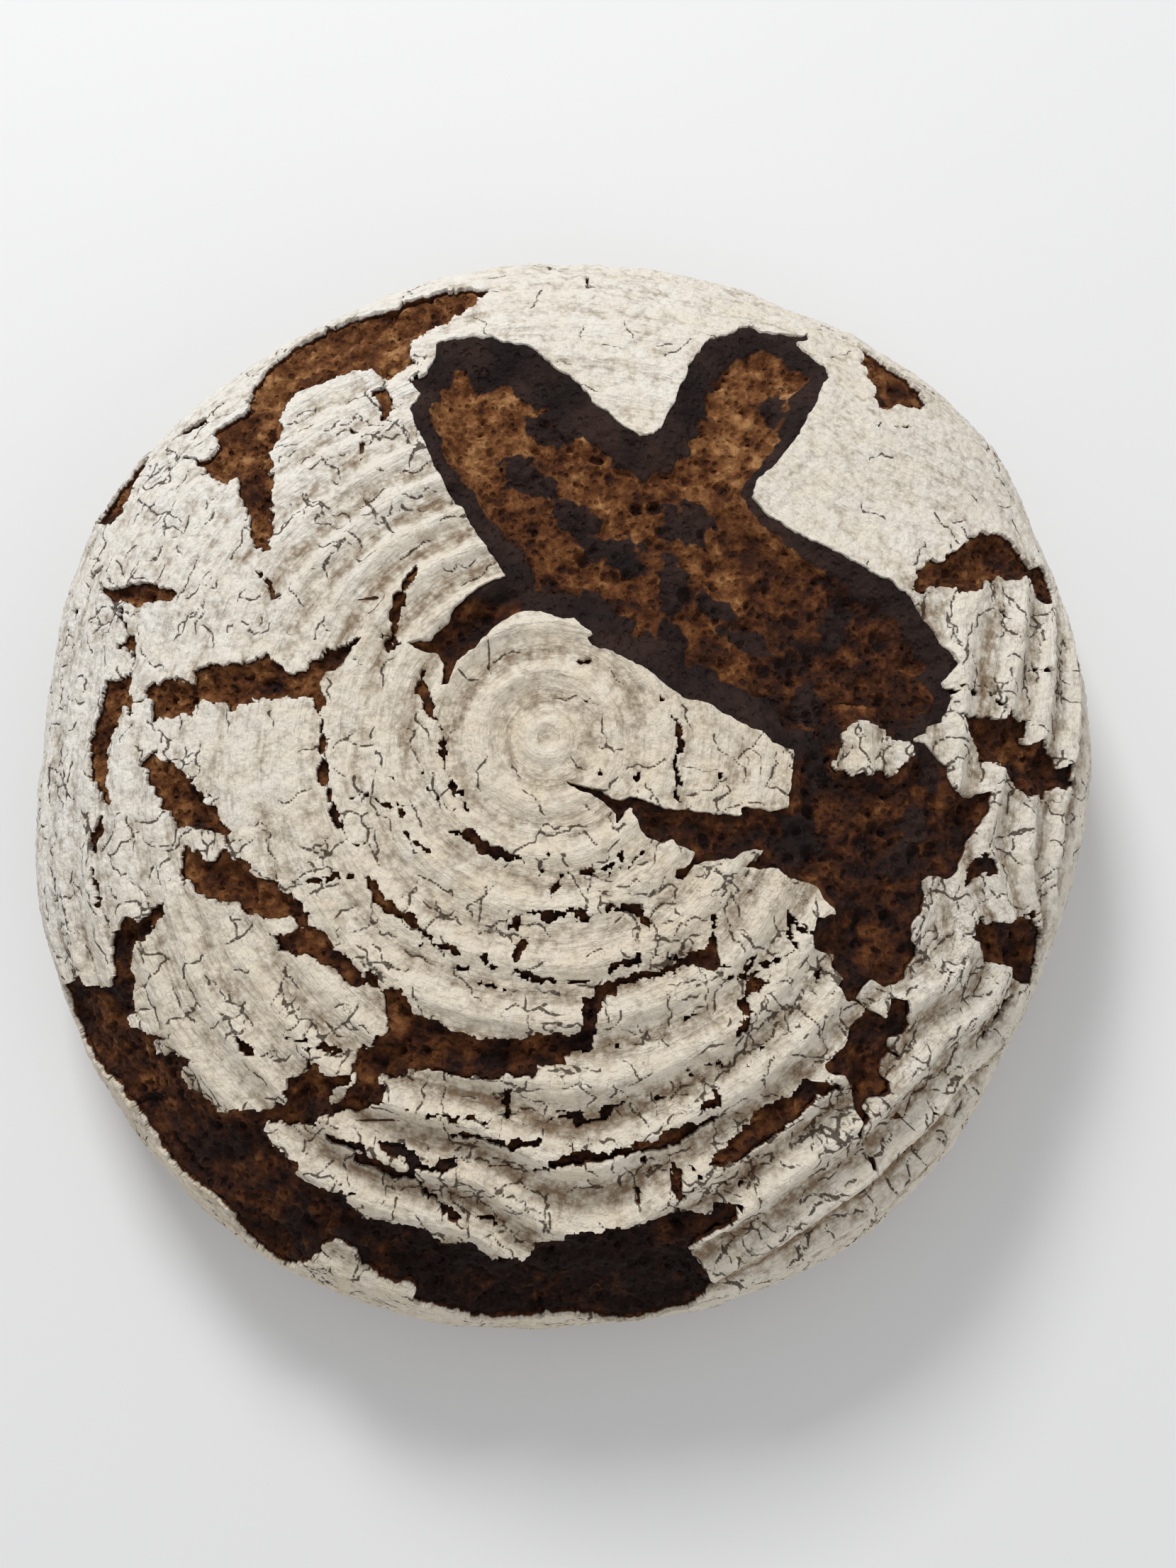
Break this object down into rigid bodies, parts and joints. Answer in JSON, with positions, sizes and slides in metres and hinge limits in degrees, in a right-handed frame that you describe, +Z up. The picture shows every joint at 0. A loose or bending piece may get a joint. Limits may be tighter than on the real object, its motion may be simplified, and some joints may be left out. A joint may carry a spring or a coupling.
{
  "type": "round rye bread loaf",
  "caption": "Round, low-domed rye sourdough loaf with a floured ridged crust, a crossed leaf score torn open to dark crumb, and a burst along one side; lies flat on its base.",
  "frame": {"origin": "centre of the loaf's outline, on the surface it rests on", "axes": "+Z up, -Y towards the viewer of the picture, +X to the viewer's right"},
  "size_m": [0.2434, 0.2515, 0.0805],
  "materials": {
    "floured_rye_crust": "dry, matte, chalky flour over a baked brown crust, with rough dark crumb in the torn places"
  },
  "bodies": {
    "root": {"loaf": "floured_rye_crust"}
  },
  "joints": []
}
